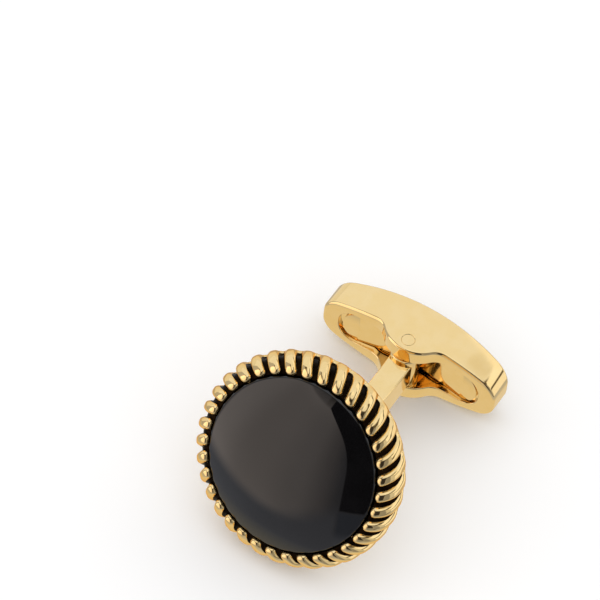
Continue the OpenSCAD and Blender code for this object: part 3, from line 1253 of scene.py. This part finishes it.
@dataclass
class PinAndSpring:
    """The hinge pin, flush with the ears, and the bent strip that lines the pocket."""

    lay: Lay
    pin_r: float = 0.55
    pin_half: float = 3.21
    pin_chamfer: float = 0.02
    spring_l: float = 12.56
    spring_w: float = 3.2
    spring_t: float = 0.25
    waist_w: float = 2.72
    waist_x: float = 1.8
    corner_r: float = 1.5
    spring_shift: float = 0.08
    edge_round: float = 0.05
    bend_round: float = 0.5

    def pin(self, finishes: Finishes) -> bpy.types.Object:
        """Shapes and dresses the pin.

        Args:
            finishes: The materials.

        Returns:
            The piece.
        """
        shape = Shape()
        r, half, cut = self.pin_r, self.pin_half, self.pin_chamfer
        pen = shape.pen((0.0, -half, 0.0)).line((r - cut, -half, 0.0)).line((r, -half + cut, 0.0))
        pen.line((r, half - cut, 0.0)).line((r - cut, half, 0.0)).line((0.0, half, 0.0))
        shape.lathe(96, Y_AXIS)
        made = shape.piece("toggle_pin", self.lay.toggle)
        dress(made, "hinge_pin", Body.SWIVEL, Slot.GOLD, finishes.gold)
        return made

    def plan(self, shape: Shape) -> None:
        """Draws a quarter of the spring's outline: half its waist, a taper and a corner."""
        x, y = self.spring_l / 2.0 - self.corner_r, self.spring_w / 2.0 - self.corner_r
        pen = shape.pen((0.0, self.waist_w / 2.0, 0.0)).line((self.waist_x, self.waist_w / 2.0, 0.0), 2)
        pen.line((x, self.spring_w / 2.0, 0.0), 6)
        pen.arc((x, y, 0.0), (0, 0, -1.0), math.pi / 2.0, 16)

    def spring(self, finishes: Finishes) -> bpy.types.Object:
        """Shapes and dresses the leaf spring.

        Args:
            finishes: The materials.

        Returns:
            The piece.
        """
        shape = Shape()
        shape.loop(lambda: self.plan(shape))
        shape.deck(shape.mesh.edges[:])
        for vert in shape.mesh.verts:
            vert.co.z = self.lay.spring_top(vert.co.x)
        under = bmesh.ops.extrude_face_region(shape.mesh, geom=shape.mesh.faces[:])
        lowered = [v for v in under["geom"] if isinstance(v, Vert)]
        bmesh.ops.translate(shape.mesh, vec=(0.0, 0.0, -self.spring_t), verts=lowered)
        shape.settle()
        shape.soften(shape.creases(60.0), self.edge_round)
        shape.soften(shape.creases_at(9.0, 0, 0.0), self.bend_round, 5)
        shift = Matrix.Translation((-self.spring_shift, 0.0, 0.0))
        made = shape.piece("spring_strip", self.lay.toggle @ shift)
        crisp(made)
        dress(made, "leaf_spring", Body.SWIVEL, Slot.GOLD, finishes.gold)
        return made


@dataclass(frozen=True)
class Panel:
    """A soft-edged panel of light, by azimuths from the front to the right and elevations, in degrees."""

    azimuths: tuple[float, float]
    elevations: tuple[float, float]
    soft: float
    colour: tuple[float, float, float]

    @property
    def shade(self) -> Colour:
        """The panel's light, for a colour socket."""
        return (*self.colour, 1.0)

    def mask(
        self, bench: Bench, azimuth: Socket, elevation: Socket
    ) -> Socket:
        """Wires the panel's outline.

        Args:
            bench: The tree to wire it in.
            azimuth: Socket of the direction's azimuth, in degrees.
            elevation: Socket of the direction's elevation, in degrees.

        Returns:
            A socket that is 1 on the panel and 0 off it.
        """
        sides = []
        for value, (low, high) in ((azimuth, self.azimuths), (elevation, self.elevations)):
            sides.append(bench.span(value, low - self.soft, low + self.soft))
            sides.append(bench.math("SUBTRACT", 1.0, bench.span(value, high - self.soft, high + self.soft)))
        whole = sides[0]
        for side in sides[1:]:
            whole = bench.math("MULTIPLY", whole, side)
        return whole


GAP_SHADE = (0.12, 0.10, 0.07, 1.0)
PANELS = (
    # overhead, and lower behind
    Panel((-200.0, 200.0), (64.0, 200.0), 3.0, (0.92, 0.94, 0.99)),
    Panel((-200.0, -84.0), (12.0, 200.0), 2.0, (0.92, 0.94, 0.99)),
    Panel((140.0, 200.0), (46.0, 200.0), 3.0, (0.92, 0.94, 0.99)),
    Panel((-200.0, 200.0), (80.0, 200.0), 4.0, (1.10, 1.10, 1.10)),
    # behind at the left, and behind at the right
    Panel((-200.0, -84.0), (-26.0, 12.0), 2.0, (0.86, 0.86, 0.86)),
    Panel((95.0, 200.0), (20.0, 50.0), 2.5, (1.12, 1.12, 1.14)),
    Panel((150.0, 166.0), (51.0, 62.0), 3.5, (0.84, 0.83, 0.82)),
    Panel((95.0, 200.0), (-26.0, 11.0), 2.0, (1.05, 1.03, 1.02)),
    # the dimmer walls at the right, and the cool one at the left
    Panel((46.0, 74.0), (-20.0, 50.0), 2.0, (0.30, 0.31, 0.34)),
    Panel((74.0, 95.0), (-20.0, 50.0), 2.0, (0.66, 0.66, 0.66)),
    Panel((-84.0, -62.0), (-24.0, 50.0), 2.0, (0.50, 0.50, 0.55)),
    # a dim ceiling strip over the box, then the big soft box in front, which dims to its right
    Panel((-64.0, -15.0), (50.0, 60.0), 1.5, (0.45, 0.41, 0.38)),
    Panel((-62.0, 21.0), (-40.0, 51.0), 1.0, (1.62, 1.42, 1.29)),
    Panel((-47.0, 40.0), (-40.0, 51.0), 9.0, (1.32, 1.15, 1.04)),
    Panel((-14.0, 40.0), (-40.0, 51.0), 12.0, (1.08, 0.95, 0.87)),
    Panel((5.0, 40.0), (-40.0, 51.0), 9.0, (0.60, 0.53, 0.50)),
    Panel((15.0, 40.0), (-40.0, 51.0), 5.0, (0.30, 0.29, 0.30)),
    Panel((20.0, 46.0), (-40.0, -7.0), 1.5, (0.27, 0.29, 0.34)),
    # the table, cool far off and warmer close by
    Panel((-200.0, 200.0), (-200.0, -25.0), 5.0, (0.54, 0.55, 0.60)),
    Panel((-200.0, 200.0), (-200.0, -44.0), 8.0, (0.80, 0.72, 0.56)),
)


@dataclass
class Studio:
    """A pale floor, soft light from panels with dark gaps between them, and the camera."""

    azimuth: float = math.radians(27.319)
    elevation: float = math.radians(54.435)
    roll: float = math.radians(8.048)
    place: Point = (147.904, -297.304, 485.006)
    focal: float = 439.208
    floor_size: float = 1.2
    floor_cloud: float = 3.0
    floor_shades: tuple[Colour, Colour] = ((0.93, 0.93, 0.93, 1.0), (0.96, 0.96, 0.96, 1.0))
    # the box's lower right corner fades along a slant, by shares of azimuth and elevation
    corner_slant: tuple[float, float] = (0.527, 0.85)
    corner_fade: tuple[float, float] = (9.0, 23.0)
    corner_shade: Colour = (0.50, 0.50, 0.54, 1.0)
    # the black gap begins at an azimuth, and leans over between two elevations
    gap_edge: float = 20.3
    gap_lean: float = 29.0
    gap_rise: tuple[float, float] = (5.0, 51.0)
    gap_curve: float = 4.0
    gap_shade: Colour = (0.035, 0.033, 0.036, 1.0)
    # the even light on matt surfaces, and what the camera sees past the floor
    fill: Colour = (1.14, 1.14, 1.14, 1.0)
    backdrop: Colour = (1.0, 1.0, 1.0, 1.0)

    def camera(self) -> bpy.types.Object:
        """Sets up the camera."""
        toward = Vector(
            (
                math.cos(self.elevation) * math.sin(self.azimuth),
                -math.cos(self.elevation) * math.cos(self.azimuth),
                math.sin(self.elevation),
            )
        )
        level = Vector((math.cos(self.azimuth), math.sin(self.azimuth), 0.0))
        turned = Matrix.Rotation(self.roll, 3, toward)
        right, up = turned @ level, turned @ toward.cross(level)
        frame = Matrix((right, up, toward)).transposed().to_4x4()
        data = bpy.data.cameras.new("camera")
        data.lens, data.sensor_width, data.clip_end = self.focal, 36.0, 20.0
        made = bpy.data.objects.new("camera", data)
        made.matrix_world = Matrix.Translation(Vector(self.place) * MM) @ frame
        bpy.context.scene.collection.objects.link(made)
        bpy.context.scene.camera = made
        return made

    def floor(self) -> bpy.types.Object:
        """Lays the pale floor."""
        shape = Shape()
        bmesh.ops.create_grid(shape.mesh, x_segments=1, y_segments=1, size=self.floor_size)
        made = shape.piece("pale_floor", Matrix.Identity(4))
        material, bench, shader = shader_of("pale_floor")
        place = bench.place()
        shade = bench.tint(bench.grain(place, self.floor_cloud), *self.floor_shades)
        bench.wire(shade, shader.inputs["Base Color"])
        shader.inputs["Roughness"].default_value = 0.9
        shader.inputs["Specular IOR Level"].default_value = 0.0
        made.data.materials.append(material)
        made.visible_glossy = False
        return made

    def tent(self) -> bpy.types.World:
        """Lights the scene with soft panels all round, and dark gaps between them."""
        world = bpy.data.worlds.new("panel_tent")
        world.use_nodes = True
        bench = Bench(world.node_tree)
        way = bench.node("ShaderNodeTexCoord").outputs["Generated"]
        split = bench.node("ShaderNodeSeparateXYZ")
        bench.wire(way, split.inputs[0])
        x, y, z = split.outputs
        azimuth = bench.math("DEGREES", bench.math("ARCTAN2", x, bench.math("MULTIPLY", y, -1.0)))
        elevation = bench.math("DEGREES", bench.math("ARCSINE", z))
        shade = GAP_SHADE
        for panel in PANELS:
            shade = bench.tint(panel.mask(bench, azimuth, elevation), shade, panel.shade)
        # the box's lower right corner fades slantwise into the table
        across = bench.math("MULTIPLY", azimuth, self.corner_slant[0])
        down = bench.math("MULTIPLY", elevation, self.corner_slant[1])
        slant = bench.span(bench.math("SUBTRACT", across, down), *self.corner_fade)
        front = Panel((-62.0, 19.5), (-40.0, 0.0), 2.0, (1.0, 1.0, 1.0)).mask(bench, azimuth, elevation)
        shade = bench.tint(bench.math("MULTIPLY", slant, front), shade, self.corner_shade)
        # the black gap at the box's right, whose edge leans over at its top
        rise = bench.span(elevation, *self.gap_rise, 0.0, 1.0, "LINEAR")
        lean = bench.math("MULTIPLY", bench.math("POWER", rise, self.gap_curve), self.gap_lean)
        edge = bench.math("SUBTRACT", self.gap_edge, lean)
        past = bench.span(bench.math("SUBTRACT", azimuth, edge), -0.5, 0.5)
        strip = Panel((-60.0, 46.0), (-6.0, 61.0), 0.8, (1.0, 1.0, 1.0)).mask(bench, azimuth, elevation)
        shade = bench.tint(bench.math("MULTIPLY", past, strip), shade, self.gap_shade)
        ray = bench.node("ShaderNodeLightPath")
        shade = bench.tint(ray.outputs["Is Diffuse Ray"], shade, self.fill)
        shade = bench.tint(ray.outputs["Is Camera Ray"], shade, self.backdrop)
        light = bench.node("ShaderNodeBackground")
        bench.wire(shade, light.inputs["Color"])
        out = bench.node("ShaderNodeOutputWorld")
        bench.wire(light.outputs[0], out.inputs["Surface"])
        bpy.context.scene.world = world
        return world

    def build(self) -> None:
        """Sets up camera, floor and light."""
        self.camera()
        self.floor()
        self.tent()
        scene = bpy.context.scene
        scene.view_settings.view_transform = "Standard"
        scene.view_settings.look = "None"
        LOG.info("studio: camera %.0f mm, floor %.1f m", self.focal, self.floor_size)


def main() -> None:
    """Builds the studio and every piece."""
    logging.basicConfig(level=logging.INFO, format="%(name)s: %(message)s")
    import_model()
    lay = Lay()
    Studio().build()
    finishes = Finishes()
    Stone(lay).build(finishes)
    GadroonedRim(lay).build(finishes)
    EnamelRing(lay).build(finishes)
    CupAndPost(lay).build(finishes)
    Toggle(lay).build(finishes)
    small = PinAndSpring(lay)
    small.pin(finishes)
    small.spring(finishes)
    bpy.context.view_layer.update()


if __name__ == "__main__":
    main()
